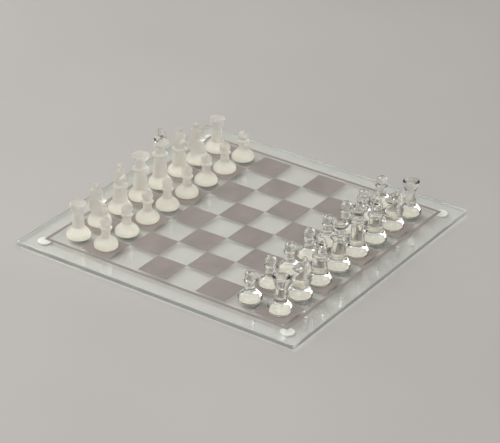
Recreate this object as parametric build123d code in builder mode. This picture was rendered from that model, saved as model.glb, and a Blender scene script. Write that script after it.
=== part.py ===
from build123d import *

import os

# Glass chess set on a glass board. Millimetres, +Z up, origin on the table under the board's centre.
# +X runs from file a to file h and +Y from rank 1 to rank 8, so the clear side sits at -Y.

# Board: a clear plate on four round feet, with an etched field of 8 x 8 squares.
square = 36.5
ranks = 8
margin = 29.0
plate_width = ranks * square + 2 * margin
plate_thickness = 5.0
plate_corner_radius = 3.0
plate_edge_chamfer = 0.6
foot_radius = 7.5
foot_height = 2.0
foot_edge_fillet = 0.5
foot_inset = 21.7
foot_offset = plate_width / 2 - foot_inset
board_top = foot_height + plate_thickness

# Chessmen: heights are above the board, and include the pad under the glass.
pad_thickness = 0.8
pad_inset = 1.2
pawn_base_radius = 13.0
base_radius = 13.2

# The round base: a rolled lower edge, an upright band, and a shoulder that rounds over into a nearly
# straight slope up to the stem. Each shoulder point is a share of the way out from the stem to
# the band and a share of the way up from the band to the stem.
edge_roll = 1.4
band_top = 4.0
shoulder_shares = [(0.83, 0.31), (0.48, 0.60), (0.12, 0.89)]
stem_z = 13.0

# Collars and cups of the turned men
collar_half = 2.0
rim_lip = 1.3
rim_slope = 0.2
dish_depth = 0.9
dish_fall = 0.4

# Pawn
pawn_shoulder_radius = 5.6
pawn_shoulder_z = 13.2
pawn_neck_radius = 4.8
pawn_neck_z = 16.5
pawn_ring_radius = 6.8
pawn_ring_z = 23.0
pawn_ring_half = 1.3
pawn_throat_radius = 4.6
pawn_ball_radius = 6.0
pawn_height = 35.4

# Rook
rook_stem_radius = 6.6
rook_throat_radius = 5.8
rook_throat_z = 28.0
rook_cup_radius = 7.6
rook_cup_z = 33.2
rook_rim_radius = 9.2
rook_height = 40.5

# Bishop
bishop_stem_radius = 8.5
bishop_throat_radius = 7.1
bishop_collar_radius = 8.7
bishop_collar_z = 30.4
bishop_neck_radius = 5.6
mitre_radius = 6.6
mitre_z = 42.5
mitre_tip_radius = 2.4
mitre_tip_z = 52.4
bishop_ball_radius = 2.7
bishop_height = 57.2
notch_width = 1.8
notch_depth = 4.0
notch_z = 42.7
notch_tilt = 32.0

# Queen
queen_stem_radius = 8.3
queen_throat_radius = 6.4
queen_collar_radius = 9.5
queen_collar_z = 35.6
queen_neck_radius = 6.0
queen_cup_z = 46.4
queen_rim_radius = 9.9
queen_rim_z = 53.4
queen_point_radius = 1.6
queen_height = 54.9

# King
king_stem_radius = 8.5
king_throat_radius = 6.6
king_collar_radius = 9.3
king_collar_z = 38.4
king_neck_radius = 5.8
king_cup_z = 46.4
king_rim_radius = 9.6
king_rim_z = 54.4
king_hub_radius = 2.6
king_height = 70.2
cross_thickness = 5.8
cross_lobe_radius = 3.8
cross_reach = 6.9
cross_bar_width = 4.2

# Knight: the horse faces -Y, and is narrower at its crown than at its chest.
knight_waist_radius = 9.0
knight_waist_z = 13.0
knight_width = 12.6
knight_crown_width = 8.4
knight_crown_z = 42.0
knight_knob_radius = 3.0
knight_knob_y = 4.1
knight_height = 47.7

files = "abcdefgh"
back_rank = ["rook", "knight", "bishop", "queen", "king", "bishop", "knight", "rook"]


def base_outline(radius, stem_radius, stem_height):
    """Flat underside, rolled lower edge, upright band, and the shoulder up to the stem."""
    roll_side = 0.3 * edge_roll
    shoulder = [
        (stem_radius + out * (radius - stem_radius), band_top + up * (stem_height - band_top))
        for out, up in shoulder_shares
    ]
    Line((0, pad_thickness), (radius - edge_roll, pad_thickness))
    ThreePointArc(
        (radius - edge_roll, pad_thickness),
        (radius - roll_side, pad_thickness + roll_side),
        (radius, pad_thickness + edge_roll),
    )
    Line((radius, pad_thickness + edge_roll), (radius, band_top))
    Spline(
        (radius, band_top),
        *shoulder,
        (stem_radius, stem_height),
        tangents=((0, 1), (-0.2, 1)),
    )


def collar_outline(throat_radius, collar_radius, height, neck_radius, half=collar_half):
    """Half-round ring that stands proud of the stem below it and of the neck above it."""
    low, high = height - half, height + half
    Line((throat_radius, low), (collar_radius - half, low))
    ThreePointArc((collar_radius - half, low), (collar_radius, height), (collar_radius - half, high))
    Line((collar_radius - half, high), (neck_radius, high))


def rim_outline(rim_radius, rim_height, hub_radius):
    """Upright lip of a cup, then a shallow dish in to the hub, level where it ends."""
    Line((rim_radius, rim_height - rim_lip), (rim_radius - rim_slope, rim_height))
    Spline(
        (rim_radius - rim_slope, rim_height),
        (hub_radius, rim_height - dish_depth),
        tangents=((-1, -dish_fall), (-1, 0)),
    )


def ball_outline(ball_radius, top, seat_radius):
    """Ball on a neck of the seat's radius, from the neck up to the axis. The seat is on the ball."""
    middle = top - ball_radius
    seat_z = middle - (ball_radius**2 - seat_radius**2) ** 0.5
    ThreePointArc((seat_radius, seat_z), (ball_radius, middle), (0, top))
    return seat_z


def close_on_axis(top):
    """The axis of the turned outline, from its top down to the flat underside."""
    Line((0, top), (0, pad_thickness))


def pawn():
    """Bun-shaped base, almost cylindrical neck, thin ring and ball head."""
    with BuildPart() as man:
        with BuildSketch(Plane.XZ):
            with BuildLine():
                base_outline(pawn_base_radius, pawn_shoulder_radius, pawn_shoulder_z)
                Spline(
                    (pawn_shoulder_radius, pawn_shoulder_z),
                    (pawn_neck_radius, pawn_neck_z),
                    tangents=((-0.2, 1), (0, 1)),
                )
                Line((pawn_neck_radius, pawn_neck_z), (pawn_neck_radius, pawn_ring_z - pawn_ring_half))
                collar_outline(
                    pawn_neck_radius, pawn_ring_radius, pawn_ring_z, pawn_throat_radius, pawn_ring_half
                )
                seat_z = ball_outline(pawn_ball_radius, pawn_height, pawn_throat_radius)
                Line((pawn_throat_radius, pawn_ring_z + pawn_ring_half), (pawn_throat_radius, seat_z))
                close_on_axis(pawn_height)
            make_face()
        revolve(axis=Axis.Z)
    return man.part


def rook():
    """Tapered stem that carries a plain cup with an almost straight flare."""
    with BuildPart() as man:
        with BuildSketch(Plane.XZ):
            with BuildLine():
                base_outline(base_radius, rook_stem_radius, stem_z)
                Line((rook_stem_radius, stem_z), (rook_throat_radius, rook_throat_z))
                Spline(
                    (rook_throat_radius, rook_throat_z),
                    (rook_cup_radius, rook_cup_z),
                    (rook_rim_radius, rook_height - rim_lip),
                    tangents=((0.2, 1), (0.2, 1)),
                )
                rim_outline(rook_rim_radius, rook_height, 0)
                close_on_axis(rook_height - dish_depth)
            make_face()
        revolve(axis=Axis.Z)
    return man.part


def bishop():
    """Tapered stem, collar, and an egg-shaped mitre with a slanting notch and a small ball."""
    with BuildPart() as man:
        with BuildSketch(Plane.XZ):
            with BuildLine():
                base_outline(base_radius, bishop_stem_radius, stem_z)
                throat_z = bishop_collar_z - collar_half
                neck_z = bishop_collar_z + collar_half
                Line((bishop_stem_radius, stem_z), (bishop_throat_radius, throat_z))
                collar_outline(
                    bishop_throat_radius, bishop_collar_radius, bishop_collar_z, bishop_neck_radius
                )
                Spline(
                    (bishop_neck_radius, neck_z),
                    (mitre_radius, mitre_z),
                    (mitre_tip_radius, mitre_tip_z),
                    tangents=((0.1, 1), (-1, 0.6)),
                )
                seat_z = ball_outline(bishop_ball_radius, bishop_height, mitre_tip_radius)
                Line((mitre_tip_radius, mitre_tip_z), (mitre_tip_radius, seat_z))
                close_on_axis(bishop_height)
            make_face()
        revolve(axis=Axis.Z)
        notch_plane = Plane(
            origin=(0, -mitre_radius, notch_z), x_dir=(1, 0, 0), z_dir=(0, 0, 1)
        ).rotated((-notch_tilt, 0, 0))
        with BuildSketch(notch_plane):
            Rectangle(3 * mitre_radius, 2 * notch_depth)
        extrude(amount=notch_width / 2, both=True, mode=Mode.SUBTRACT)
    return man.part


def queen():
    """Tapered stem, collar, and a shallow bowl-shaped cup with a small point in its dish."""
    with BuildPart() as man:
        with BuildSketch(Plane.XZ):
            with BuildLine():
                base_outline(base_radius, queen_stem_radius, stem_z)
                throat_z = queen_collar_z - collar_half
                neck_z = queen_collar_z + collar_half
                Line((queen_stem_radius, stem_z), (queen_throat_radius, throat_z))
                collar_outline(
                    queen_throat_radius, queen_collar_radius, queen_collar_z, queen_neck_radius
                )
                Line((queen_neck_radius, neck_z), (queen_neck_radius, queen_cup_z))
                Spline(
                    (queen_neck_radius, queen_cup_z),
                    (queen_rim_radius, queen_rim_z - rim_lip),
                    tangents=((1, 0.8), (0.4, 1)),
                )
                rim_outline(queen_rim_radius, queen_rim_z, queen_point_radius)
                Spline(
                    (queen_point_radius, queen_rim_z - dish_depth),
                    (0, queen_height),
                    tangents=((0, 1), (-1, 0)),
                )
                close_on_axis(queen_height)
            make_face()
        revolve(axis=Axis.Z)
    return man.part


def king():
    """Tapered stem, collar and cone-shaped cup that carries a cross of three round lobes."""
    hub_z = king_rim_z - dish_depth
    top_lobe_z = king_height - cross_lobe_radius
    cross_z = top_lobe_z - cross_reach
    root_z = hub_z - cross_bar_width / 2
    with BuildPart() as man:
        with BuildSketch(Plane.XZ):
            with BuildLine():
                base_outline(base_radius, king_stem_radius, stem_z)
                throat_z = king_collar_z - collar_half
                neck_z = king_collar_z + collar_half
                Line((king_stem_radius, stem_z), (king_throat_radius, throat_z))
                collar_outline(
                    king_throat_radius, king_collar_radius, king_collar_z, king_neck_radius
                )
                Line((king_neck_radius, neck_z), (king_neck_radius, king_cup_z))
                Spline(
                    (king_neck_radius, king_cup_z),
                    (king_rim_radius, king_rim_z - rim_lip),
                    tangents=((0.35, 1), (0.6, 1)),
                )
                rim_outline(king_rim_radius, king_rim_z, king_hub_radius)
                Line((king_hub_radius, hub_z), (0, hub_z))
                close_on_axis(hub_z)
            make_face()
        revolve(axis=Axis.Z)
        with BuildSketch(Plane.XZ):
            with Locations((0, cross_z)):
                Rectangle(2 * cross_reach, cross_bar_width)
            with Locations((0, (root_z + top_lobe_z) / 2)):
                Rectangle(cross_bar_width, top_lobe_z - root_z)
            with Locations((-cross_reach, cross_z), (cross_reach, cross_z), (0, top_lobe_z)):
                Circle(cross_lobe_radius)
        extrude(amount=cross_thickness / 2, both=True)
    return man.part


def knight():
    """Turned base with a horse's bust: the side view, narrowed by the front view, and a round topknot."""
    back = [(8.8, knight_waist_z), (11.3, 16.8), (11.6, 21.5), (11.1, 30.0), (10.2, 38.8)]
    crown = [(10.2, 38.8), (7.6, 41.0), (3.9, 41.8), (-0.5, 41.2)]
    face = [(-0.5, 41.2), (-3.2, 39.7), (-5.2, 37.0), (-7.3, 34.1), (-9.6, 30.8)]
    jaw = [(-9.6, 30.8), (-7.0, 27.2), (-2.2, 26.4)]
    chest = [(-2.2, 26.4), (-5.4, 24.7), (-8.3, 21.6), (-8.8, 17.0), (-8.8, knight_waist_z)]
    chest_half, crown_half = knight_width / 2, knight_crown_width / 2
    with BuildPart() as man:
        with BuildSketch(Plane.YZ):
            with BuildLine():
                for run in (back, crown, face, jaw, chest):
                    Spline(*run)
                Line(chest[-1], back[0])
            make_face()
        extrude(amount=knight_width / 2, both=True)
        with BuildSketch(Plane.XZ):
            with BuildLine():
                Polyline(
                    (-crown_half, knight_crown_z),
                    (-chest_half, knight_waist_z),
                    (chest_half, knight_waist_z),
                    (crown_half, knight_crown_z),
                    close=True,
                )
            make_face()
        extrude(amount=2 * base_radius, both=True, mode=Mode.INTERSECT)
        with BuildSketch(Plane.XZ):
            with BuildLine():
                base_outline(base_radius, knight_waist_radius, knight_waist_z)
                Line((knight_waist_radius, knight_waist_z), (0, knight_waist_z))
                close_on_axis(knight_waist_z)
            make_face()
        revolve(axis=Axis.Z)
        with Locations((0, knight_knob_y, knight_height - knight_knob_radius)):
            Sphere(knight_knob_radius)
    return man.part


def pad(radius):
    """Round pad under a chessman's glass, a little smaller than the glass."""
    with BuildPart() as disc:
        with BuildSketch(Plane.XY):
            Circle(radius - pad_inset)
        extrude(amount=pad_thickness)
    return disc.part


def write(part, name):
    """Labels a finished piece and writes it to the parts folder."""
    part.label = name
    export_step(part, f"parts/{name}.step")


def square_centre(file_index, rank_index):
    """Middle of a square on the board's top, from its file and rank counted from 0."""
    half = (ranks - 1) / 2
    return ((file_index - half) * square, (rank_index - half) * square, board_top)


def placed(shape, file_index, rank_index, turn=0):
    """The shape stood on its square and turned about its own axis."""
    with BuildPart() as man:
        with Locations(Location(square_centre(file_index, rank_index), (0, 0, turn))):
            add(shape)
    return man.part


os.makedirs("parts", exist_ok=True)

with BuildPart() as glass_board:
    with BuildSketch(Plane.XY.offset(foot_height)):
        RectangleRounded(plate_width, plate_width, plate_corner_radius)
    extrude(amount=plate_thickness)
    chamfer(glass_board.faces().filter_by(Axis.Z).edges(), plate_edge_chamfer)
write(glass_board.part, "glass_board")

for end_name, y_sign in (("front", -1), ("back", 1)):
    for side_name, x_sign in (("left", -1), ("right", 1)):
        with BuildPart() as board_foot:
            with BuildSketch(Plane.XY):
                with Locations((x_sign * foot_offset, y_sign * foot_offset)):
                    Circle(foot_radius)
            extrude(amount=foot_height)
            fillet(board_foot.edges().group_by(Axis.Z)[0], foot_edge_fillet)
        write(board_foot.part, f"board_foot_{end_name}_{side_name}")

shapes = {
    "pawn": pawn(),
    "rook": rook(),
    "knight": knight(),
    "bishop": bishop(),
    "queen": queen(),
    "king": king(),
}
pawn_pad = pad(pawn_base_radius)
man_pad = pad(base_radius)

# Each side's back rank and pawn rank, counted from 0, and the turn that faces a man to the other side.
for side, back_row, pawn_row, turn in (("clear", 0, 1, 180), ("frosted", 7, 6, 0)):
    for file_index, kind in enumerate(back_rank):
        name = f"{side}_{kind}_{files[file_index]}{back_row + 1}"
        write(placed(shapes[kind], file_index, back_row, turn), name)
        write(placed(man_pad, file_index, back_row), f"pad_{name}")
    for file_index in range(ranks):
        # The pawn's glass and its pad stay two solids that meet face to face.
        glass = placed(shapes["pawn"], file_index, pawn_row)
        soft_pad = placed(pawn_pad, file_index, pawn_row)
        name = f"{side}_pawn_{files[file_index]}{pawn_row + 1}"
        write(Compound(children=[glass, soft_pad]), name)
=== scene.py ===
# %% [markdown]
# # A glass chess set
# Thirty-two pressed glass chessmen stand on a clear glass plate with etched squares. The CAD model
# carries the sizes, the places and the motion. This script gives every piece its final surface and
# finish, then sets a plain studio round it. Lengths are in metres, and outlines are in millimetres.

# %% The frame
import math

import bpy
import numpy as np
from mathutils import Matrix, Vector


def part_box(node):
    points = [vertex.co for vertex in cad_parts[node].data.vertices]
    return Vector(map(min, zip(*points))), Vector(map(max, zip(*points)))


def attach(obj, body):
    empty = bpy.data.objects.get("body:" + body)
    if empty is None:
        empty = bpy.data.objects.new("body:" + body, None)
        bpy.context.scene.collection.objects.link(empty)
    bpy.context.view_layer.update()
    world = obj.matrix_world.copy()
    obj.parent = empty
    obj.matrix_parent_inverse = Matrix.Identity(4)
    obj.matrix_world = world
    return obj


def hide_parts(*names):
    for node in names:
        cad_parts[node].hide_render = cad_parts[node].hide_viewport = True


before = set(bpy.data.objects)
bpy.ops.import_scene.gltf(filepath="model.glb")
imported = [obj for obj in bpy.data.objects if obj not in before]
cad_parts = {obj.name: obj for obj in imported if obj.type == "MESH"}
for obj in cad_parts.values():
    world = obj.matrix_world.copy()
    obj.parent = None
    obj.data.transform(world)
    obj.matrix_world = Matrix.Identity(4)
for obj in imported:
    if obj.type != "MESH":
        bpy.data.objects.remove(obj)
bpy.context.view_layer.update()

scene = bpy.context.scene
MM = 0.001

# %% [markdown]
# ## Where things stand
# Every place comes from the frame: the plate's box gives the board, and two neighbouring pawns give
# the width of a square. Nothing is fitted by eye afterwards.

# %% Board and square sizes from the frame


def middle(node):
    """Middle of a CAD node's box, seen from above, in metres."""
    low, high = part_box(node)
    return (low + high) / 2


plate_low, plate_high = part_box("glass_board")
board_top = plate_high.z
square = (middle("clear_pawn_b2") - middle("clear_pawn_a2")).x
field_half = 4 * square
print("square", round(square / MM, 2), "mm, board top", round(board_top / MM, 2), "mm")

# %% [markdown]
# ## The camera
# A long lens from high on the left-hand side looks down on the board. It keeps the near and far
# squares almost the same size. The camera looks at a point of the board's top, so its place follows
# from two angles and a distance.

# %% Camera
CAMERA_TARGET = (0.0089, 0.0010, board_top)
CAMERA_AZIMUTH = math.radians(-146.79)
CAMERA_ELEVATION = math.radians(28.68)
CAMERA_ROLL = math.radians(1.79)
CAMERA_DISTANCE = 2.334
CAMERA_LENS = 156.0


def camera_matrix(target, azimuth, elevation, roll, distance):
    """Columns are right, up and back. Back points from the target to the camera; right is level before
    the roll turns right and up together about it."""
    back = np.array(
        [
            math.cos(azimuth) * math.cos(elevation),
            math.sin(azimuth) * math.cos(elevation),
            math.sin(elevation),
        ]
    )
    level = np.cross([0.0, 0.0, 1.0], back)
    level /= np.linalg.norm(level)
    rise = np.cross(back, level)
    right = math.cos(roll) * level + math.sin(roll) * rise
    up = -math.sin(roll) * level + math.cos(roll) * rise
    matrix = np.eye(4)
    matrix[:3, :3] = np.column_stack([right, up, back])
    matrix[:3, 3] = np.array(target) + distance * back
    return matrix


camera_data = bpy.data.cameras.new("camera")
camera_data.lens = CAMERA_LENS
camera_data.clip_end = 50.0
camera = bpy.data.objects.new("camera", camera_data)
camera.matrix_world = camera_matrix(
    CAMERA_TARGET, CAMERA_AZIMUTH, CAMERA_ELEVATION, CAMERA_ROLL, CAMERA_DISTANCE
).T.tolist()
scene.collection.objects.link(camera)
scene.camera = camera

# %% [markdown]
# ## Drawing an outline
# A turned chessman is one outline spun about its axis. The outline is put together from straight
# runs, round runs through three points, and smooth sweeps that leave and arrive in given
# directions. Each helper returns an array of (radius, height) points.

# %% Runs of an outline
RUN_POINTS = 40


def straight(start, end):
    """Evenly spaced points from start to end: start plus t times the difference."""
    t = np.linspace(0.0, 1.0, RUN_POINTS)[:, None]
    return np.array(start) * (1 - t) + np.array(end) * t


def round_run(start, through, end):
    """Circular arc through three points. The centre is where the two chords' bisectors meet."""
    a, b, c = (np.array(p, float) for p in (start, through, end))
    sides = 2 * np.array([b - a, c - a])
    squares = np.array([b @ b - a @ a, c @ c - a @ a])
    centre = np.linalg.solve(sides, squares)
    angles = np.unwrap([math.atan2(*(p - centre)[::-1]) for p in (a, b, c)])
    turn = np.linspace(angles[0], angles[2], RUN_POINTS)
    return centre + np.linalg.norm(a - centre) * np.column_stack([np.cos(turn), np.sin(turn)])


def sweep(start, leave, end, arrive):
    """Cubic Hermite curve from start to end, with the leaving and arriving directions scaled to the
    length of the chord between them."""
    start, end = np.array(start, float), np.array(end, float)
    chord = np.linalg.norm(end - start)
    leave = np.array(leave) / np.linalg.norm(leave) * chord
    arrive = np.array(arrive) / np.linalg.norm(arrive) * chord
    t = np.linspace(0.0, 1.0, RUN_POINTS)[:, None]
    return (
        (2 * t**3 - 3 * t**2 + 1) * start
        + (t**3 - 2 * t**2 + t) * leave
        + (3 * t**2 - 2 * t**3) * end
        + (t**3 - t**2) * arrive
    )


def curve_through(rows, leave, arrive, steps=RUN_POINTS):
    """Catmull-Rom curve: between two rows it is a cubic whose slope at each row is half the
    difference of that row's neighbours. A made-up row past each end gives the leaving and arriving
    directions."""
    rows = np.array(rows, float)
    ends = []
    for first, second, way in ((0, 1, -1), (-1, -2, 1)):
        direction = np.array((leave, arrive)[way > 0], float)
        direction /= np.linalg.norm(direction)
        span = np.linalg.norm(rows[second] - rows[first])
        ends.append(rows[second] + 2 * way * span * direction)
    rows = np.vstack([ends[0], rows, ends[1]])
    t = np.linspace(0, 1, steps, endpoint=False)[:, None]
    spans = [
        b
        + 0.5 * t * (c - a)
        + t**2 * (a - 2.5 * b + 2 * c - 0.5 * d)
        + t**3 * (1.5 * (b - c) + 0.5 * (d - a))
        for a, b, c, d in zip(rows, rows[1:], rows[2:], rows[3:])
    ]
    return np.vstack(spans + [rows[-2:-1]])


# %% [markdown]
# ## Fire-polished edges
# Pressed glass leaves its mould with soft corners, because its skin melts again while it cools. A
# bevel on every corner would need its own width each time. Averaging the whole outline over a short
# length does the same to all of them, as the flame does.

# %% Softening and resampling an outline
FINE_STEP = 0.1
POLISH = 0.32
OUTLINE_STEP = 0.62


def resample(points, step):
    """The same line with evenly spaced points: each column is read at equal lengths along the line."""
    lengths = np.linalg.norm(np.diff(points, axis=0), axis=1)
    keep = np.concatenate([[True], lengths > 1e-9])
    points = points[keep]
    along = np.concatenate([[0.0], np.cumsum(np.linalg.norm(np.diff(points, axis=0), axis=1))])
    marks = np.linspace(0.0, along[-1], max(3, int(round(along[-1] / step)) + 1))
    return np.column_stack([np.interp(marks, along, column) for column in points.T])


def soften(outline, polish=POLISH):
    """Gaussian average along the line. Both ends lie on the axis, so the line is first carried on past
    them as its own mirror image, and the ends stay on the axis."""
    fine = resample(outline, FINE_STEP)
    reach = int(4 * polish / FINE_STEP)
    mirrored = np.array([-1.0, 1.0])
    before = fine[reach:0:-1] * mirrored
    after = fine[-2 : -reach - 2 : -1] * mirrored
    padded = np.vstack([before, fine, after])
    offsets = np.arange(-reach, reach + 1) * FINE_STEP
    weights = np.exp(-0.5 * (offsets / polish) ** 2)
    weights /= weights.sum()
    soft = np.column_stack([np.convolve(column, weights, "valid") for column in padded.T])
    soft[0, 0] = soft[-1, 0] = 0.0
    return resample(soft, OUTLINE_STEP)


# %% [markdown]
# ## From an outline to a mesh
# Spinning is a grid: one direction runs along the outline and the other goes round the axis. The
# two ends of the outline lie on the axis, so each becomes a single point, and the surface closes
# there. One function turns any such grid of rings into a mesh.

# %% Rings to mesh
AROUND = 84


def ring_faces(rings, around):
    """Faces of a closed surface of rings with a single point at each end. Point 0 is the first pole, the
    last point is the other pole, and the rings lie between. Neighbouring rings join in quads."""
    here = np.arange(around)
    there = (here + 1) % around
    first = [(0, 1 + b, 1 + a) for a, b in zip(here, there)]
    start = 1 + around * np.arange(rings - 1)[:, None]
    quads = np.stack(
        [start + here, start + there, start + around + there, start + around + here], axis=-1
    ).reshape(-1, 4)
    last = 1 + around * (rings - 1)
    tip = 1 + around * rings
    second = [(last + a, last + b, tip) for a, b in zip(here, there)]
    return [tuple(f) for f in first] + quads.tolist() + [tuple(f) for f in second]


def mesh_piece(name, points, faces, materials, smooth=True):
    """A new object at the origin with the points, in metres, in its mesh."""
    mesh = bpy.data.meshes.new(name)
    mesh.from_pydata(np.asarray(points, float).tolist(), [], faces)
    mesh.update()
    mesh.shade_smooth() if smooth else mesh.shade_flat()
    for material in materials:
        mesh.materials.append(material)
    piece = bpy.data.objects.new(name, mesh)
    scene.collection.objects.link(piece)
    return piece


def spun(outline):
    """Points of the surface that the outline sweeps, pole first and pole last: (r cos a, r sin a, z)."""
    turn = np.linspace(0.0, 2 * np.pi, AROUND, endpoint=False)
    rings = outline[1:-1]
    x = rings[:, :1] * np.cos(turn)
    y = rings[:, :1] * np.sin(turn)
    z = np.repeat(rings[:, 1:], AROUND, axis=1)
    body = np.stack([x, y, z], axis=-1).reshape(-1, 3)
    low, high = [0.0, 0.0, outline[0, 1]], [0.0, 0.0, outline[-1, 1]]
    return np.vstack([low, body, high])


print("outline helpers ready,", AROUND, "points round each man")

# %% [markdown]
# ## The shared base
# All the men have the same foot: a flat underside, a rolled lower edge, an upright band and a
# shoulder that rounds over and then runs almost straight up to the stem. It is wide and heavy, so
# a man doesn't tip over. Its width and each man's height are read from the frame. The shoulder's
# points are shares of the way from the stem out to the band and from the band up to the stem, so
# one set of numbers fits every man.

# %% Sizes of the men from the frame


def man_size(node):
    """Radius of the man's base and the man's height above the board, in millimetres."""
    low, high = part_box(node)
    return (high.x - low.x) / 2 / MM, (high.z - board_top) / MM


PAWN_BASE, PAWN_TOP = man_size("clear_pawn_a2")
MAN_BASE, ROOK_TOP = man_size("clear_rook_a1")
KNIGHT_TOP = man_size("clear_knight_b1")[1]
BISHOP_TOP = man_size("clear_bishop_c1")[1]
QUEEN_TOP = man_size("clear_queen_d1")[1]
KING_TOP = man_size("clear_king_e1")[1]
PAD = (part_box("pad_clear_rook_a1")[1].z - board_top) / MM
print("bases", round(PAWN_BASE, 2), round(MAN_BASE, 2), "king", round(KING_TOP, 1), "mm")

# %% Base, collar, rim and ball outlines
EDGE_ROLL = 1.4
BAND_TOP = 4.0
SHOULDER_SHARES = [(0.83, 0.31), (0.48, 0.60), (0.12, 0.89)]
STEM_Z = 13.0
COLLAR_HALF = 2.0
RIM_LIP = 1.3
RIM_SLOPE = 0.2
DISH_DEPTH = 0.9
DISH_FALL = 0.4


def base_outline(radius, stem_radius, stem_height):
    """Underside, quarter-round edge, band, and a curve through the shoulder's points to the stem."""
    roll = 0.3 * EDGE_ROLL
    shoulder = [
        (stem_radius + out * (radius - stem_radius), BAND_TOP + up * (stem_height - BAND_TOP))
        for out, up in SHOULDER_SHARES
    ]
    return [
        straight((0, PAD), (radius - EDGE_ROLL, PAD)),
        round_run(
            (radius - EDGE_ROLL, PAD), (radius - roll, PAD + roll), (radius, PAD + EDGE_ROLL)
        ),
        straight((radius, PAD + EDGE_ROLL), (radius, BAND_TOP)),
        curve_through(
            [(radius, BAND_TOP), *shoulder, (stem_radius, stem_height)], (0, 1), (-0.2, 1)
        ),
    ]


def collar_outline(throat_radius, radius, height, neck_radius, half=COLLAR_HALF):
    """A half-round ring between the stem below it and the neck above it."""
    low, high = height - half, height + half
    return [
        straight((throat_radius, low), (radius - half, low)),
        round_run((radius - half, low), (radius, height), (radius - half, high)),
        straight((radius - half, high), (neck_radius, high)),
    ]


def rim_outline(radius, height, hub_radius):
    """The cup's upright lip, and a shallow dish in to the hub."""
    lip = (radius - RIM_SLOPE, height)
    return [
        straight((radius, height - RIM_LIP), lip),
        sweep(lip, (-1, -DISH_FALL), (hub_radius, height - DISH_DEPTH), (-1, 0)),
    ]


def ball_outline(radius, top, seat_radius):
    """A ball from the neck it sits on to its top."""
    centre = top - radius
    seat_z = centre - math.sqrt(radius**2 - seat_radius**2)
    return [round_run((seat_radius, seat_z), (radius, centre), (0, top))]


# %% [markdown]
# ## Five turned men
# Each outline names the heights where the man changes shape: the neck, the ring, the collar, the
# rim. They are the CAD model's own heights, so the smooth surface lies on the CAD solid. The heights
# of the queen's and king's rims are counted down from the man's top.

# %% Outlines of the turned men
MITRE_RADIUS = 6.6
QUEEN_POINT_RISE = 1.5
KING_CROSS_RISE = 15.8


def pawn_outline():
    """Base, almost cylindrical neck, thin ring, ball."""
    shoulder, neck, throat = (5.6, 13.2), (4.8, 16.5), 4.6
    ring, ring_z, ring_half = 6.8, 23.0, 1.3
    return base_outline(PAWN_BASE, *shoulder) + [
        sweep(shoulder, (-0.2, 1), neck, (0, 1)),
        straight(neck, (neck[0], ring_z - ring_half)),
        *collar_outline(neck[0], ring, ring_z, throat, ring_half),
        *ball_outline(6.0, PAWN_TOP, throat),
    ]


def rook_outline():
    """Base, tapered stem, and a cup whose flare is almost straight, with a plain dished top."""
    stem, throat, cup, rim = 6.6, (5.8, 28.0), (7.6, 33.2), 9.2
    return base_outline(MAN_BASE, stem, STEM_Z) + [
        straight((stem, STEM_Z), throat),
        curve_through([throat, cup, (rim, ROOK_TOP - RIM_LIP)], (0.2, 1), (0.2, 1)),
        *rim_outline(rim, ROOK_TOP, 0.0),
    ]


def bishop_outline():
    """Base, tapered stem, collar, egg-shaped mitre and a small ball."""
    stem, throat, neck, collar_z = 8.5, 7.1, 5.6, 30.4
    mitre, tip = (MITRE_RADIUS, 42.5), (2.4, 52.4)
    return base_outline(MAN_BASE, stem, STEM_Z) + [
        straight((stem, STEM_Z), (throat, collar_z - COLLAR_HALF)),
        *collar_outline(throat, 8.7, collar_z, neck),
        curve_through([(neck, collar_z + COLLAR_HALF), mitre, tip], (0.1, 1), (-1, 0.6)),
        *ball_outline(2.7, BISHOP_TOP, tip[0]),
    ]


def queen_outline():
    """Base, tapered stem, collar, neck, wide bowl-shaped cup with a small point in its dish."""
    stem, throat, neck, collar_z = 8.3, 6.4, 6.0, 35.6
    cup_z, rim, rim_z, point = 46.4, 9.9, QUEEN_TOP - QUEEN_POINT_RISE, 1.6
    return base_outline(MAN_BASE, stem, STEM_Z) + [
        straight((stem, STEM_Z), (throat, collar_z - COLLAR_HALF)),
        *collar_outline(throat, 9.5, collar_z, neck),
        straight((neck, collar_z + COLLAR_HALF), (neck, cup_z)),
        sweep((neck, cup_z), (1, 0.8), (rim, rim_z - RIM_LIP), (0.4, 1)),
        *rim_outline(rim, rim_z, point),
        sweep((point, rim_z - DISH_DEPTH), (0, 1), (0, QUEEN_TOP), (-1, 0)),
    ]


def king_outline():
    """Base, tapered stem, collar, neck and the cone-shaped cup that carries the cross."""
    stem, throat, neck, collar_z = 8.5, 6.6, 5.8, 38.4
    cup_z, rim, rim_z, hub = 46.4, 9.6, KING_TOP - KING_CROSS_RISE, 2.6
    return base_outline(MAN_BASE, stem, STEM_Z) + [
        straight((stem, STEM_Z), (throat, collar_z - COLLAR_HALF)),
        *collar_outline(throat, 9.3, collar_z, neck),
        straight((neck, collar_z + COLLAR_HALF), (neck, cup_z)),
        sweep((neck, cup_z), (0.35, 1), (rim, rim_z - RIM_LIP), (0.6, 1)),
        *rim_outline(rim, rim_z, hub),
        straight((hub, rim_z - DISH_DEPTH), (0, rim_z - DISH_DEPTH)),
    ]


OUTLINES = {
    "pawn": pawn_outline,
    "rook": rook_outline,
    "bishop": bishop_outline,
    "queen": queen_outline,
    "king": king_outline,
}
shapes = {}
for kind, outline in OUTLINES.items():
    line = soften(np.vstack(outline()))
    shapes[kind] = (spun(line), ring_faces(len(line) - 2, AROUND))
    print(kind, "rings", len(line) - 2, "height", round(line[-1, 1], 1), "mm")

# %% [markdown]
# ## The bishop's notch
# A bishop's mitre has a slanting slot in the side that faces the other player. A Boolean cut would
# leave thin triangles, which glass shows at once. So the mitre's rings are tilted to lie along the
# slot, and the rings inside it are pushed back to its flat floor. Rings lie closer together near the
# slot. The glass below it bulges a little, as a lip, which stands proud of the CAD solid.

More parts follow.
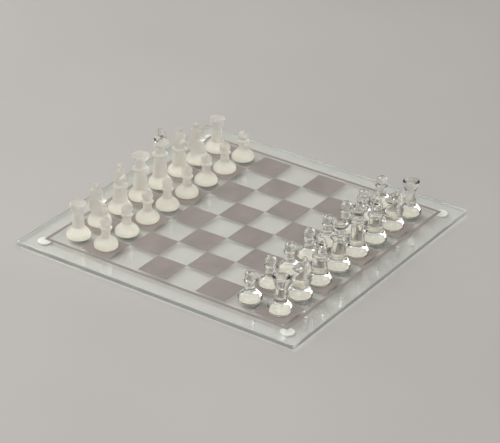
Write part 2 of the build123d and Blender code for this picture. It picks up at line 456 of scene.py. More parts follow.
# %% Notch
NOTCH_Z = 42.7
NOTCH_TILT = math.radians(32)
NOTCH_FLOOR = 2.9
NOTCH_HALF = (0.62, 1.0)
NOTCH_LIP = 1.1
LIP_DROP = 2.2
LIP_SPREAD = 1.6
MITRE_LOW, MITRE_HIGH = 33.2, 50.0
MITRE_MARGIN = 0.6
RING_STEP = 0.6
CLOSE_RING_STEP = 0.13
CLOSE_REACH = 1.9
TILT_FULL = 0.55
TILT_EASE = 0.15
TURN = np.linspace(0.0, 2 * np.pi, AROUND, endpoint=False)


def smooth_step(value, low, high):
    """0 below low, 1 above high, and 3 t^2 - 2 t^3 between them."""
    t = np.clip((value - low) / (high - low), 0, 1)
    return t * t * (3 - 2 * t)


def notched_mitre(line):
    """Rings of the mitre, whose height falls with the distance from the front, as the slot's plane does.
    A point in front of the slot's floor moves back to it, by as much as its ring is inside the slot."""
    front = np.concatenate(
        [
            np.arange(MITRE_LOW, NOTCH_Z - CLOSE_REACH, RING_STEP),
            np.arange(NOTCH_Z - CLOSE_REACH, NOTCH_Z + CLOSE_REACH, CLOSE_RING_STEP),
            np.arange(NOTCH_Z + 2.1, MITRE_HIGH, RING_STEP),
        ]
    )[:, None]
    away = 1 + np.sin(TURN)
    eased = TILT_FULL + TILT_EASE * np.tanh((away - TILT_FULL) / TILT_EASE)
    away = np.where(away < TILT_FULL, away, eased)
    tilted = smooth_step(front, MITRE_LOW, NOTCH_Z - 1.7)
    tilted = tilted * (1 - smooth_step(front, NOTCH_Z + 2.9, MITRE_HIGH))
    z = front - math.tan(NOTCH_TILT) * MITRE_RADIUS * away * tilted
    radius = np.interp(z, line[:, 1], line[:, 0])
    across = (front - NOTCH_Z) * math.cos(NOTCH_TILT)
    inside = 1 - smooth_step(np.abs(across), *NOTCH_HALF)
    y = radius * np.sin(TURN)
    y = y + inside * np.maximum(0, -NOTCH_FLOOR - y)
    lip = NOTCH_LIP * np.exp(-(((across + LIP_DROP) / LIP_SPREAD) ** 2))
    y = y - lip * np.clip(-np.sin(TURN), 0, 1) ** 2
    return np.stack([radius * np.cos(TURN), y, z], axis=-1)


line = soften(np.vstack(bishop_outline()))
stem = line[line[:, 1] < MITRE_LOW]
crown = line[line[:, 1] > MITRE_HIGH]
mitre = notched_mitre(line[line[:, 1] > MITRE_LOW - MITRE_MARGIN])
below = spun(np.vstack([stem, stem[-1:]]))[:-1]
above = spun(np.vstack([crown[:1], crown]))[1:]
bishop_points = np.vstack([below, mitre.reshape(-1, 3), above])
bishop_rings = (len(bishop_points) - 2) // AROUND
shapes["bishop"] = (bishop_points, ring_faces(bishop_rings, AROUND))
print("bishop rings", bishop_rings)

# %% [markdown]
# ## The king's cross
# The cross has three round lobes on a stem. Its front view is drawn first: along each ray from the
# middle, the farthest point inside any of its discs and bars is its edge. Then it is blown up like
# a pillow. The glass is thicker the farther it is from that edge, so the lobes come out as balls
# and the bars as rods.

# %% Cross
LOBE_RADIUS = 3.8
LOBE_REACH = 6.9
CROSS_Z = KING_TOP - LOBE_RADIUS - LOBE_REACH
CROSS_HALF = 2.9
BAR_HALF = 2.1
FOOT_REACH = 5.6
FOOT_RADIUS = 2.4
RAYS = 120
RAY_LENGTH = 13.0
RAY_STEPS = 650
SHELLS = 13


def cross_edge():
    """Distance of the cross's edge from its middle along each ray, averaged over neighbouring rays."""
    angle = np.linspace(0.0, 2 * np.pi, RAYS, endpoint=False)[:, None]
    reach = np.linspace(0.0, RAY_LENGTH, RAY_STEPS)
    x, z = reach * np.cos(angle), reach * np.sin(angle)
    inside = (np.abs(z) < BAR_HALF) & (np.abs(x) < LOBE_REACH)
    inside |= (np.abs(x) < BAR_HALF) & (z < LOBE_REACH) & (z > -FOOT_REACH)
    for lobe_x, lobe_z, radius in (
        (LOBE_REACH, 0, LOBE_RADIUS),
        (-LOBE_REACH, 0, LOBE_RADIUS),
        (0, LOBE_REACH, LOBE_RADIUS),
        (0, -FOOT_REACH, FOOT_RADIUS),
    ):
        inside |= (x - lobe_x) ** 2 + (z - lobe_z) ** 2 < radius**2
    edge = np.max(reach * inside, axis=1)
    near = [0.05, 0.25, 0.4, 0.25, 0.05]
    return angle[:, 0], sum(w * np.roll(edge, k - 2) for k, w in enumerate(near))


def cross_points():
    """Shells of the outline shrunk towards the middle, with a half thickness that grows with the distance
    from the edge as a quarter circle does. They run from the back's middle to the front's middle."""
    angle, edge = cross_edge()
    outline = np.column_stack([edge * np.cos(angle), edge * np.sin(angle)])
    closed = resample(np.vstack([outline, outline[:1]]), FINE_STEP)
    share = np.sin(np.linspace(0, np.pi / 2, SHELLS + 1))[1:]
    flat = share[:, None, None] * outline
    gap = np.linalg.norm(flat[:, :, None, :] - closed, axis=-1).min(axis=-1)
    gap[-1] = 0
    depth = CROSS_HALF * np.sqrt(1 - (1 - np.clip(gap / LOBE_RADIUS, 0, 1)) ** 2)
    back = np.stack([flat[..., 0], depth, CROSS_Z + flat[..., 1]], axis=-1)
    front = back[-2::-1] * np.array([1, -1, 1])
    # The edge nearest the middle is the inner corner of two bars, about 1.4 half widths away
    middle_depth = CROSS_HALF * math.sqrt(1 - (1 - min(BAR_HALF * 1.4 / LOBE_RADIUS, 1)) ** 2)
    rings = np.concatenate([back, front]).reshape(-1, 3)
    return np.vstack([[0, middle_depth, CROSS_Z], rings, [0, -middle_depth, CROSS_Z]])


cross_shape = (cross_points(), ring_faces(2 * SHELLS - 1, RAYS))
print("cross points", len(cross_shape[0]))

# %% [markdown]
# ## The knight
# The horse isn't turned. Its bust grows out of the round base, bends over at the crown and ends at
# the muzzle. It is described by stations: at each, one point on the back, mane or face, one point on
# the chest or jaw, and a half width. A smooth curve runs through all the stations, and a closed
# curve is drawn at each of its steps. The first station is the top of the round base, so base and
# bust are one surface.

# %% Stations of the horse
# Back or face (forward, up), chest or jaw (forward, up), half width, narrowing towards the mane, and
# how square the mane's side is: 2 is an oval
STATIONS = [
    (-8.8, 13.0, 8.8, 13.0, 8.8, 0.00, 2.0),
    (-10.0, 16.0, 9.0, 15.6, 7.6, 0.06, 3.0),
    (-11.2, 20.5, 8.6, 20.0, 6.9, 0.12, 4.8),
    (-11.2, 25.0, 6.6, 23.7, 6.4, 0.18, 4.8),
    (-10.9, 30.0, 3.8, 25.6, 6.1, 0.24, 4.6),
    (-10.5, 34.7, 2.3, 26.3, 5.8, 0.28, 4.2),
    (-9.9, 38.4, 2.0, 26.6, 5.4, 0.30, 3.8),
    (-7.5, 40.8, 2.3, 26.7, 5.2, 0.28, 3.2),
    (-3.9, 41.7, 2.9, 26.8, 5.1, 0.24, 2.8),
    (-0.3, 41.2, 3.5, 26.8, 5.0, 0.20, 2.6),
    (2.8, 39.8, 4.1, 26.9, 4.8, 0.18, 2.5),
    (4.9, 37.3, 4.8, 26.9, 4.5, 0.20, 2.4),
    (6.7, 34.8, 5.6, 27.0, 4.0, 0.20, 2.3),
    (8.3, 32.6, 6.8, 27.4, 3.5, 0.16, 2.2),
    (9.3, 31.2, 8.0, 28.3, 2.5, 0.10, 2.0),
]
MUZZLE_TIP = (9.6, 30.3)
STATION_STEPS = 9


def horse_rings():
    """Closed curves between the two rails: the middle, plus half the rails' difference times the sine
    of the turn, plus the half width times its cosine, narrower on the mane's side. There the curve
    is a squared oval, |up|^n + |side|^n = 1, because the bust has flat sides with round corners."""
    leave = np.subtract(STATIONS[1], STATIONS[0])
    arrive = np.subtract(STATIONS[-1], STATIONS[-2])
    path = curve_through(STATIONS, leave, arrive, STATION_STEPS)
    back_u, back_z, front_u, front_z, width, mane, boxy = path.T
    up, side = np.sin(TURN), np.cos(TURN)
    power = np.where(up > 0, boxy[:, None], 2.0)
    reach = (np.abs(up) ** power + np.abs(side) ** power) ** (-1 / power)
    up, side = up * reach, side * reach
    forward = ((back_u + front_u)[:, None] + (back_u - front_u)[:, None] * up) / 2
    height = ((back_z + front_z)[:, None] + (back_z - front_z)[:, None] * up) / 2
    narrow = 1 - mane[:, None] * (1 + up) / 2
    x = width[:, None] * side * narrow
    return np.stack([x, -forward, height], axis=-1)


print("horse rings", horse_rings().shape[0])

# %% [markdown]
# ## Mane, topknot, eyes and muzzle
# The mould's relief is added as small moves of the surface along its own normal: grooves that fan
# back over the mane, a bead in a hollow for each eye, a dent for each nostril and a line for the
# mouth. The round topknot is drawn up out of the crown afterwards.

# %% Relief of the horse
KNOB_RADIUS = 3.0
KNOB_FORWARD = -4.1
KNOB_Z = KNIGHT_TOP - KNOB_RADIUS
KNOB_REACH = 3.3
KNOB_TURN = math.radians(125)
EYE = (3.1, 36.8)
EYE_BEAD = 0.75
EYE_HOLLOW = 0.5
NOSTRIL = (8.4, 31.2)
NOSTRIL_DENT = 0.55
MOUTH_Z = 29.0
MOUTH_LINE = 0.4
CHEEK = (1.8, 31.3)
CHEEK_SWELL = 0.45
LOCK_RISE = 0.35
LOCK_GROOVE = 0.6


def surface_normals(rings):
    """Cross product of the step round each ring and the step from ring to ring."""
    around = np.roll(rings, -1, axis=1) - np.roll(rings, 1, axis=1)
    along = np.gradient(rings, axis=0)
    normal = np.cross(around, along)
    return normal / np.maximum(np.linalg.norm(normal, axis=-1, keepdims=True), 1e-9)


def bell(distance, width):
    """Gaussian hill: 1 in the middle and 0.6 at the width."""
    return np.exp(-0.5 * (distance / width) ** 2)


def relief(rings):
    """How far each point of the horse moves outwards, in millimetres."""
    x, forward, height = rings[..., 0], -rings[..., 1], rings[..., 2]
    on_side = smooth_step(np.abs(x), 1.6, 2.8)
    eye = np.hypot(forward - EYE[0], height - EYE[1])
    nostril = np.hypot(forward - NOSTRIL[0], height - NOSTRIL[1])
    out = on_side * (EYE_BEAD * bell(eye, 0.7) - EYE_HOLLOW * bell(eye - 1.55, 0.45))
    out -= NOSTRIL_DENT * bell(nostril, 0.55) * smooth_step(np.abs(x), 0.8, 1.6)
    out -= MOUTH_LINE * bell(height - MOUTH_Z, 0.28) * smooth_step(forward, 6.4, 7.6)
    along = np.arange(len(rings))[:, None] / STATION_STEPS
    on_mane = smooth_step(np.sin(TURN), 0.25, 0.6) * smooth_step(along, 1.6, 2.6)
    on_mane = on_mane * (1 - smooth_step(along, 6.6, 7.4))
    grooves = 0.5 + 0.5 * np.cos(2 * np.pi * (1.9 * along + 0.8 * np.abs(x) / 4))
    out += on_mane * (LOCK_RISE - LOCK_GROOVE * grooves**2)
    cheek = np.hypot((forward - CHEEK[0]) / 4.2, (height - CHEEK[1]) / 5.2)
    out += CHEEK_SWELL * on_side * bell(cheek, 0.55)
    return out


def topknot(rings):
    """Draws a disc of the crown up into a ball. A point's distance from the disc's middle becomes its
    angle from the ball's top: across = R sin(angle), height = centre + R cos(angle). Past the
    disc's edge the crown eases back to where it was."""
    side, forward = rings[..., 0], -rings[..., 1] - KNOB_FORWARD
    distance = np.hypot(side, forward)
    share = distance / KNOB_REACH
    angle = np.minimum(share, 1) * KNOB_TURN
    ease = smooth_step(share, 1.0, 1.45)
    across = (1 - ease) * KNOB_RADIUS * np.sin(angle) + ease * distance
    height = (1 - ease) * (KNOB_Z + KNOB_RADIUS * np.cos(angle)) + ease * rings[..., 2]
    on_crown = rings[..., 2] > 37
    scale = np.where(on_crown, across / np.maximum(distance, 1e-6), 1.0)
    x = side * scale
    y = -(forward * scale + KNOB_FORWARD)
    z = np.where(on_crown, height, rings[..., 2])
    return np.stack([x, y, z], axis=-1)


def horse():
    """Base, then the bust with its relief and its topknot, ending at the muzzle's tip."""
    rings = horse_rings()
    fade = smooth_step(np.arange(len(rings)), 2, 10)[:, None]
    rings = rings + (relief(rings) * fade)[..., None] * surface_normals(rings)
    rings = topknot(rings)
    waist = STATIONS[0][2]
    top = straight((waist, STEM_Z), (0, STEM_Z))
    base = soften(np.vstack(base_outline(MAN_BASE, waist, STEM_Z) + [top]))
    base = base[: np.argmax((base[:, 1] > 11) & (base[:, 0] < waist + 0.15))]
    below = spun(np.vstack([base, base[-1:]]))[:-1]
    tip = [0.0, -MUZZLE_TIP[0], MUZZLE_TIP[1]]
    return np.vstack([below, rings.reshape(-1, 3), tip])


knight_points = horse()
knight_rings = (len(knight_points) - 2) // AROUND
shapes["knight"] = (knight_points, ring_faces(knight_rings, AROUND))
print("knight rings", knight_rings, "height", round(knight_points[:, 2].max(), 1), "mm")

# %% [markdown]
# ## Finishes: shared node groups
# Three finishes repeat over the set. Acid frost is a fine grain in the skin of the glass. Pressed
# glass has long shallow waves from the mould. Felt and rubber are a little uneven in colour. Two
# groups give them, each built once and placed in the materials with its own numbers: a grain with
# broad patches, used for both the frost and the waves, and a blend of two tones.

# %% Node groups


def node_group(name, inputs, outputs):
    """An empty shader group with the named float or colour sockets."""
    group = bpy.data.node_groups.new(name, "ShaderNodeTree")
    kinds = {"value": "NodeSocketFloat", "colour": "NodeSocketColor"}
    for label, kind in inputs:
        group.interface.new_socket(label, in_out="INPUT", socket_type=kinds[kind])
    for label, kind in outputs:
        group.interface.new_socket(label, in_out="OUTPUT", socket_type=kinds[kind])
    return group, group.nodes.new("NodeGroupInput"), group.nodes.new("NodeGroupOutput")


def noise(tree, scale_from, detail, offset=0.0):
    """A noise over Object coordinates, whose scale comes from a socket."""
    place = tree.nodes.new("ShaderNodeTexCoord")
    shift = tree.nodes.new("ShaderNodeMapping")
    shift.inputs["Location"].default_value = (offset, offset, offset)
    texture = tree.nodes.new("ShaderNodeTexNoise")
    texture.inputs["Detail"].default_value = detail
    tree.links.new(place.outputs["Object"], shift.inputs["Vector"])
    tree.links.new(shift.outputs["Vector"], texture.inputs["Vector"])
    tree.links.new(scale_from, texture.inputs["Scale"])
    return texture


def surface_grain():
    """Grain and patches: a fine noise gives a height, and a broad one moves the roughness up and down."""
    group, source, result = node_group(
        "surface_grain",
        [("Grain Scale", "value"), ("Patch Scale", "value"), ("Rough Low", "value")]
        + [("Rough High", "value")],
        [("Height", "value"), ("Roughness", "value"), ("Patch", "value")],
    )
    grain = noise(group, source.outputs["Grain Scale"], 3.0)
    patch = noise(group, source.outputs["Patch Scale"], 2.0, offset=3.7)
    spread = group.nodes.new("ShaderNodeMapRange")
    spread.inputs["From Min"].default_value = 0.3
    spread.inputs["From Max"].default_value = 0.7
    group.links.new(patch.outputs["Fac"], spread.inputs["Value"])
    group.links.new(source.outputs["Rough Low"], spread.inputs["To Min"])
    group.links.new(source.outputs["Rough High"], spread.inputs["To Max"])
    group.links.new(grain.outputs["Fac"], result.inputs["Height"])
    group.links.new(spread.outputs["Result"], result.inputs["Roughness"])
    group.links.new(patch.outputs["Fac"], result.inputs["Patch"])
    return group


GRAIN = surface_grain()


def two_tone():
    """A colour that drifts between two tones as the mask goes from low to high."""
    group, source, result = node_group(
        "two_tone",
        [("Mask", "value"), ("Tone A", "colour"), ("Tone B", "colour")],
        [("Color", "colour")],
    )
    spread = group.nodes.new("ShaderNodeMapRange")
    spread.inputs["From Min"].default_value = 0.35
    spread.inputs["From Max"].default_value = 0.65
    mix = group.nodes.new("ShaderNodeMix")
    mix.data_type = "RGBA"
    group.links.new(source.outputs["Mask"], spread.inputs["Value"])
    group.links.new(spread.outputs["Result"], mix.inputs["Factor"])
    group.links.new(source.outputs["Tone A"], mix.inputs[6])
    group.links.new(source.outputs["Tone B"], mix.inputs[7])
    group.links.new(mix.outputs[2], result.inputs["Color"])
    return group


TONES = two_tone()
print("groups", [group.name for group in bpy.data.node_groups])

# %% [markdown]
# ## Finishes: materials
# The clear glasses are Principled shaders with full transmission. The frosted glass and the plate's rim
# have less, and the etched squares none, because light scatters in their skins. A lamp can't shine
# through any of them when Cycles looks for shadows, so each is mixed with a Transparent shader that
# only shadow rays see. Light then reaches the table under the plate and the pads under the men.

# %% Material builder


def principled(name, grain, tones, bump, **sockets):
    """A material with surface grain, two tones and a bump. Sockets are set by name, with _ for a space.
    Roughness comes from the grain's two limits."""
    material = bpy.data.materials.new(name)
    material.use_nodes = True
    nodes, links = material.node_tree.nodes, material.node_tree.links
    shader = nodes["Principled BSDF"]
    for label, value in sockets.items():
        shader.inputs[label.replace("_", " ")].default_value = value
    texture = nodes.new("ShaderNodeGroup")
    texture.node_tree = GRAIN
    for label, value in zip(("Grain Scale", "Patch Scale", "Rough Low", "Rough High"), grain):
        texture.inputs[label].default_value = value
    links.new(texture.outputs["Roughness"], shader.inputs["Roughness"])
    if tones:
        blend = nodes.new("ShaderNodeGroup")
        blend.node_tree = TONES
        blend.inputs["Tone A"].default_value = (*tones[0], 1)
        blend.inputs["Tone B"].default_value = (*tones[1], 1)
        links.new(texture.outputs["Patch"], blend.inputs["Mask"])
        links.new(blend.outputs["Color"], shader.inputs["Base Color"])
    raised = nodes.new("ShaderNodeBump")
    raised.inputs["Strength"].default_value = bump[0]
    raised.inputs["Distance"].default_value = bump[1]
    links.new(texture.outputs["Height"], raised.inputs["Height"])
    links.new(raised.outputs["Normal"], shader.inputs["Normal"])
    return material


def lets_lamps_through(material, tint):
    """Mixes in a Transparent shader for shadow rays only. Its tint is the share of a lamp's light that
    goes straight on at each surface. A solid man bends much of it aside, so its share is low."""
    nodes, links = material.node_tree.nodes, material.node_tree.links
    path = nodes.new("ShaderNodeLightPath")
    clear = nodes.new("ShaderNodeBsdfTransparent")
    clear.inputs["Color"].default_value = (*tint, 1)
    mix = nodes.new("ShaderNodeMixShader")
    links.new(path.outputs["Is Shadow Ray"], mix.inputs["Fac"])
    links.new(nodes["Principled BSDF"].outputs["BSDF"], mix.inputs[1])
    links.new(clear.outputs["BSDF"], mix.inputs[2])
    links.new(mix.outputs["Shader"], nodes["Material Output"].inputs["Surface"])
    return material


# %% [markdown]
# ## The six finishes
# Polished pressed glass, frosted pressed glass, the clear plate, its greenish polished rim, the
# etched squares, and the felt and rubber underneath. The frosted glass is only partly see-through:
# the rest of its light scatters in the skin, which makes it milky.

# %% Materials
clear_glass = lets_lamps_through(
    principled(
        "clear_glass",
        grain=(140, 60, 0.0, 0.03),
        tones=((0.985, 0.985, 0.965), (0.955, 0.96, 0.93)),
        bump=(0.12, 0.0006),
        Transmission_Weight=1.0,
        IOR=1.5,
    ),
    (0.58, 0.56, 0.51),
)
frosted_glass = lets_lamps_through(
    principled(
        "frosted_glass",
        grain=(2600, 90, 0.5, 0.6),
        tones=((0.935, 0.92, 0.875), (0.885, 0.865, 0.82)),
        bump=(0.25, 0.0002),
        Transmission_Weight=0.84,
        IOR=1.46,
        Specular_IOR_Level=0.4,
        Sheen_Weight=0.35,
        Sheen_Roughness=0.4,
    ),
    (0.62, 0.61, 0.58),
)
plate_glass = lets_lamps_through(
    principled(
        "plate_glass",
        grain=(18, 8, 0.0, 0.012),
        tones=None,
        bump=(0.04, 0.0005),
        Base_Color=(0.965, 0.985, 0.97, 1),
        Transmission_Weight=1.0,
        IOR=1.52,
    ),
    (0.93, 0.945, 0.935),
)
plate_rim = lets_lamps_through(
    principled(
        "plate_rim",
        grain=(700, 40, 0.1, 0.22),
        tones=((0.70, 0.75, 0.70), (0.78, 0.82, 0.77)),
        bump=(0.15, 0.0002),
        Transmission_Weight=0.4,
        IOR=1.52,
    ),
    (0.75, 0.82, 0.77),
)
etched_skin = lets_lamps_through(
    principled(
        "etched_skin",
        grain=(3200, 35, 0.5, 0.62),
        tones=((0.315, 0.275, 0.252), (0.275, 0.240, 0.222)),
        bump=(0.3, 0.0001),
        Specular_IOR_Level=0.35,
    ),
    (0.86, 0.85, 0.84),
)
felt = principled(
    "cream_felt",
    grain=(1500, 260, 0.88, 1.0),
    tones=((0.80, 0.79, 0.71), (0.70, 0.69, 0.61)),
    bump=(0.9, 0.0005),
    Specular_IOR_Level=0.15,
    Sheen_Weight=0.4,
)
bumper = principled(
    "white_rubber",
    grain=(1800, 120, 0.5, 0.65),
    tones=((0.82, 0.82, 0.78), (0.74, 0.74, 0.70)),
    bump=(0.3, 0.0002),
)
print("materials", len(bpy.data.materials))

# %% [markdown]
# ## The board
# The plate is five millimetres of clear float glass with a ground and polished rim. Its outline is a
# square with small round corners, drawn again and again, each a little further in and higher or
# lower, from the middle of the underside round the rim to the middle of the top. The flat faces
# start on a ring of their own just inside the rim, so that the rim's rounding doesn't bend their
# reflections.

# %% Plate
CORNER = 3.0
CORNER_STEPS = 8
SIDE_STEPS = 6
ARRIS = 0.9


def rounded_square(half, corner):
    """Points of a square with round corners, anticlockwise: a quarter circle about each corner's centre,
    then a few points along the side that follows it."""
    quarter = np.linspace(0, np.pi / 2, CORNER_STEPS)
    along = np.linspace(0, 1, SIDE_STEPS + 2)[1:-1, None]
    points = []
    for turn in range(4):
        angle = quarter + turn * np.pi / 2
        centre = (half - corner) * np.sign(np.array([np.cos(angle[3]), np.sin(angle[3])]))
        points.append(centre + corner * np.column_stack([np.cos(angle), np.sin(angle)]))
    corners = points + points[:1]
    return np.vstack(
        [
            np.vstack([corner_points, corner_points[-1] * (1 - along) + following[0] * along])
            for corner_points, following in zip(corners, corners[1:])
        ]
    )


plate_half = (plate_high.x - plate_low.x) / 2 / MM
low_z, high_z = plate_low.z / MM, plate_high.z / MM
quarter = np.linspace(0, np.pi / 2, 6)
lower_arris = np.column_stack(
    [ARRIS * (1 - np.sin(quarter)), low_z + ARRIS * (1 - np.cos(quarter))]
)
upper_arris = np.column_stack(
    [ARRIS * (1 - np.cos(quarter)), high_z - ARRIS * (1 - np.sin(quarter))]
)
rim = np.vstack([[2.6, low_z], lower_arris, upper_arris, [2.6, high_z]])
rings = []
for inset, z in rim:
    flat = rounded_square(plate_half - inset, CORNER - inset)
    rings.append(np.column_stack([flat, np.full(len(flat), z)]))
plate_points = np.vstack([[0, 0, low_z], *rings, [0, 0, high_z]])
plate = mesh_piece(
    "board_plate",
    plate_points * MM,
    ring_faces(len(rim), len(rings[0])),
    [plate_glass, plate_rim],
)
centre_z = np.array([face.center.z for face in plate.data.polygons]) / MM
on_rim = np.abs(centre_z - (low_z + high_z) / 2) < (high_z - low_z) / 2 - 0.01
plate.data.polygons.foreach_set("material_index", on_rim.astype(int))
print("plate", len(plate.data.polygons), "faces,", int(on_rim.sum()), "on the rim")

# %% [markdown]
# ## The etched field
# Every other square is etched to a grey satin, with a thin border line round the field. Etching
# takes the shine off the top face and has no thickness to speak of. Here each square is a skin of
# its own on the glass, five hundredths of a millimetre high, so its edge stays sharp at any
# distance. Etched squares would meet at their corners, so each is drawn a hair smaller.

# %% Etched squares and border
ETCH_HEIGHT = 0.05
SQUARE_GAP = 0.12
BORDER_GAP = 3.6
BORDER_WIDTH = 4.0
CUBE_FACES = [(0, 3, 2, 1), (4, 5, 6, 7), (0, 1, 5, 4), (1, 2, 6, 5), (2, 3, 7, 6), (3, 0, 4, 7)]


def square_corners(centre_x, centre_y, half, z):
    """Four corners of a level square, anticlockwise from above."""
    signs = np.array([(-1, -1), (1, -1), (1, 1), (-1, 1)])
    flat = np.array([centre_x, centre_y]) + half * signs
    return np.column_stack([flat, np.full(4, z)])


top_mm = board_top / MM
square_mm = square / MM
points, faces = [], []
for file_index in range(8):
    for rank_index in range(8):
        if (file_index + rank_index) % 2:
            continue
        x, y = (file_index - 3.5) * square_mm, (rank_index - 3.5) * square_mm
        half = square_mm / 2 - SQUARE_GAP / 2
        start = sum(len(p) for p in points)
        points.append(square_corners(x, y, half, top_mm + 0.004))
        points.append(square_corners(x, y, half, top_mm + ETCH_HEIGHT))
        faces += [tuple(start + k for k in face) for face in CUBE_FACES]

inner = field_half / MM + BORDER_GAP
outer = inner + BORDER_WIDTH
start = sum(len(p) for p in points)
for half in (inner, outer):
    for z in (top_mm + 0.004, top_mm + ETCH_HEIGHT):
        points.append(square_corners(0, 0, half, z))
for a in range(4):
    b = (a + 1) % 4
    inner_low, inner_high, outer_low, outer_high = (start + 4 * k for k in range(4))
    faces += [
        (inner_low + a, inner_low + b, outer_low + b, outer_low + a),
        (inner_high + a, outer_high + a, outer_high + b, inner_high + b),
        (inner_low + a, inner_high + a, inner_high + b, inner_low + b),
        (outer_low + a, outer_low + b, outer_high + b, outer_high + a),
    ]
etched = mesh_piece("board_etching", np.vstack(points) * MM, faces, [etched_skin], smooth=False)
print("etched faces", len(faces))

# %% [markdown]
# ## Pads and bumpers
# A round of felt is glued under each man, and a white bumper under each corner of the plate. Where
# glue fills the space between glass and felt, the felt shows bright through the glass: there the
# felt reaches a hair into it. Under a clear man the glue is only in the middle. Round it lies a thin
# film of air, and the glass above that mirrors the room instead, which gives the man its dark marks.
# A frosted man's rough underside takes the glue everywhere.

# %% Felt pads and rubber bumpers
GLUE = 0.12
GLUE_SHARES = {"clear": 0.6, "frosted": 0.95}
AIR = 0.08
PAD_INSET = 1.2
PAD_LIFT = 0.08
GLUE_EDGE = 0.3
PAD_STEP = 0.9
BUMPER_STEP = 0.5


def pad_points(radius, glue_share, seed):
    """A disc with a soft edge, which the scissors left slightly uneven: the radius varies by two waves."""
    glued = glue_share * radius
    outline = [
        straight((0, PAD_LIFT), (radius - 0.25, PAD_LIFT)),
        round_run((radius - 0.25, PAD_LIFT), (radius, 0.45), (radius - 0.2, PAD - AIR)),
        straight((radius - 0.2, PAD - AIR), (glued + GLUE_EDGE, PAD - AIR)),
        straight((glued, PAD + GLUE), (0, PAD + GLUE)),
    ]
    points = spun(resample(np.vstack(outline), PAD_STEP))
    angle = np.arctan2(points[:, 1], points[:, 0])
    uneven = 1 + 0.006 * np.sin(5 * angle + seed) + 0.004 * np.sin(11 * angle + 2.3 * seed)
    points[:, :2] *= uneven[:, None]
    return points


def bumper_points(radius, height):
    """A moulded bumper: a flat top glued to the plate, a slightly tapered side and a round lower edge."""
    outline = [
        straight((0, 0), (radius - 0.9, 0)),
        round_run((radius - 0.9, 0), (radius - 0.35, 0.2), (radius - 0.12, 0.7)),
        straight((radius - 0.12, 0.7), (radius, height)),
        straight((radius, height + GLUE), (0, height + GLUE)),
    ]
    return spun(resample(np.vstack(outline), BUMPER_STEP))


for end in ("front", "back"):
    for side in ("left", "right"):
        node = f"board_foot_{end}_{side}"
        low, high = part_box(node)
        place = middle(node)
        points = bumper_points((high.x - low.x) / 2 / MM, (high.z - low.z) / MM)
        points = points * MM + [place.x, place.y, low.z]
        foot = mesh_piece(
            f"bumper_{end}_{side}", points, ring_faces(len(points[1:-1]) // AROUND, AROUND), [bumper]
        )
        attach(foot, "board")
        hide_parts(node)

for piece in (plate, etched):
    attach(piece, "board")
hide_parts("glass_board")
print("board done")

# %% [markdown]
# ## Setting up the men
# Each man's shape is copied to its square. The clear side plays from the -Y edge and faces +Y, so
# its men are turned half round. A pad node marks the place of a back-rank man, and a pawn's own node
# marks a pawn's.

# %% The thirty-two men
BACK_RANK = ("rook", "knight", "bishop", "queen", "king", "bishop", "knight", "rook")
FILES = "abcdefgh"
SIDES = {
    "clear": {"ranks": (1, 2), "facing": -1, "glass": clear_glass, "slot": "clear_glass"},
    "frosted": {"ranks": (8, 7), "facing": 1, "glass": frosted_glass, "slot": "frosted_glass"},
}


def stand(name, shape, place, facing, glass):
    """A copy of a shape, in millimetres above the board, stood at a place and turned to face its way."""
    points, faces = shape
    turned = np.asarray(points) * [facing, facing, 1]
    return mesh_piece(name, turned * MM + [place.x, place.y, board_top], faces, [glass])


for side, facts in SIDES.items():
    men = [(kind, f"{FILES[k]}{facts['ranks'][0]}") for k, kind in enumerate(BACK_RANK)]
    men += [("pawn", f"{letter}{facts['ranks'][1]}") for letter in FILES]
    for number, (kind, where) in enumerate(men):
        node = f"{side}_{kind}_{where}"
        pad_node = f"pad_{node}"
        place = middle(pad_node if pad_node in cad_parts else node)
        man = stand(f"{node}_glass", shapes[kind], place, facts["facing"], facts["glass"])
        base = PAWN_BASE if kind == "pawn" else MAN_BASE
        felt_shape = pad_points(base - PAD_INSET, GLUE_SHARES[side], number + 0.5)
        felt_faces = ring_faces(len(felt_shape[1:-1]) // AROUND, AROUND)
        pad = stand(f"{node}_felt", (felt_shape, felt_faces), place, facts["facing"], felt)
        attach(man, node)
        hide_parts(node)
        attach(pad, node)
        if pad_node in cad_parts:
            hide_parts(pad_node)
        if kind == "king":
            cross = stand(f"{node}_cross", cross_shape, place, facts["facing"], clear_glass)
            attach(cross, node)
print("men", len(SIDES) * 2 * len(FILES))

# %% [markdown]
# ## Table and light
# Glass has almost no colour of its own: it shows what stands round it. So the studio has a pale
# table, a sky that is bright above and darker near the horizon, and three large soft lamps. The dark
# band draws the dark lines in the glass, and the lamps draw the bright ones.

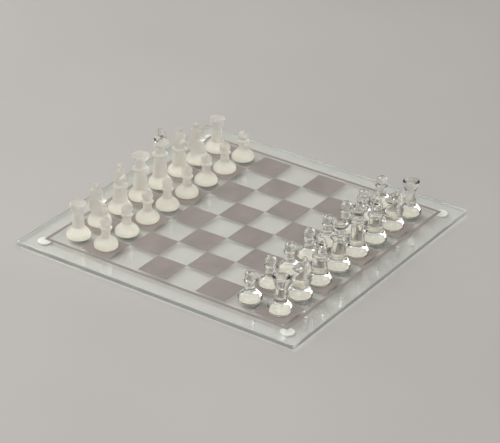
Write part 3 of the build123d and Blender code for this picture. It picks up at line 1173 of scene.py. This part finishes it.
# %% Floor
FLOOR_RADIUS = 9.0
FLOOR_SIDES = 64
floor_ring = np.linspace(0, 2 * np.pi, FLOOR_SIDES, endpoint=False)
floor_points = [(FLOOR_RADIUS * math.cos(a), FLOOR_RADIUS * math.sin(a), 0.0) for a in floor_ring]
floor_paint = principled(
    "floor_paint",
    grain=(60, 3, 0.55, 0.7),
    tones=((0.49, 0.468, 0.445), (0.465, 0.445, 0.424)),
    bump=(0.05, 0.0005),
    Specular_IOR_Level=0.2,
)
floor = mesh_piece("floor", floor_points, [tuple(range(FLOOR_SIDES))], [floor_paint], smooth=False)

# %% Lamps


def soft_lamp(name, azimuth, elevation, distance, size, power, colour):
    """A square area lamp that looks at the middle of the board from the given direction."""
    data = bpy.data.lights.new(name, "AREA")
    data.size = size
    data.energy = power
    data.color = colour
    lamp = bpy.data.objects.new(name, data)
    azimuth, elevation = math.radians(azimuth), math.radians(elevation)
    matrix = camera_matrix((0, 0, board_top), azimuth, elevation, 0, distance)
    lamp.matrix_world = matrix.T.tolist()
    scene.collection.objects.link(lamp)


soft_lamp("window_lamp", 95, 48, 2.1, 1.4, 25, (1.0, 0.99, 0.97))
soft_lamp("side_lamp", 190, 35, 2.0, 1.3, 9, (1.0, 0.985, 0.96))
soft_lamp("front_lamp", -80, 40, 2.2, 1.4, 7.5, (0.98, 0.99, 1.0))

# %% World
# How high a direction points, from level at 0 to straight up at 1, and how bright the sky is there
SKY_BANDS = ((0.2, 0.11), (0.36, 0.16), (0.52, 0.85))
SKY_STRENGTH = 0.62
world = bpy.data.worlds.new("studio")
world.use_nodes = True
scene.world = world
nodes, links = world.node_tree.nodes, world.node_tree.links
direction = nodes.new("ShaderNodeTexCoord")
split = nodes.new("ShaderNodeSeparateXYZ")
ramp = nodes.new("ShaderNodeValToRGB")
ramp.color_ramp.elements[0].position = 0.0
ramp.color_ramp.elements[0].color = (0.16, 0.15, 0.14, 1)
ramp.color_ramp.elements[1].position = 1.0
ramp.color_ramp.elements[1].color = (0.85, 0.87, 0.90, 1)
for position, grey in SKY_BANDS:
    element = ramp.color_ramp.elements.new(position)
    element.color = (grey, grey * 0.985, grey * 0.96, 1)
links.new(direction.outputs["Generated"], split.inputs["Vector"])
links.new(split.outputs["Z"], ramp.inputs["Fac"])
links.new(ramp.outputs["Color"], nodes["Background"].inputs["Color"])
nodes["Background"].inputs["Strength"].default_value = SKY_STRENGTH
scene.view_settings.view_transform = "Standard"
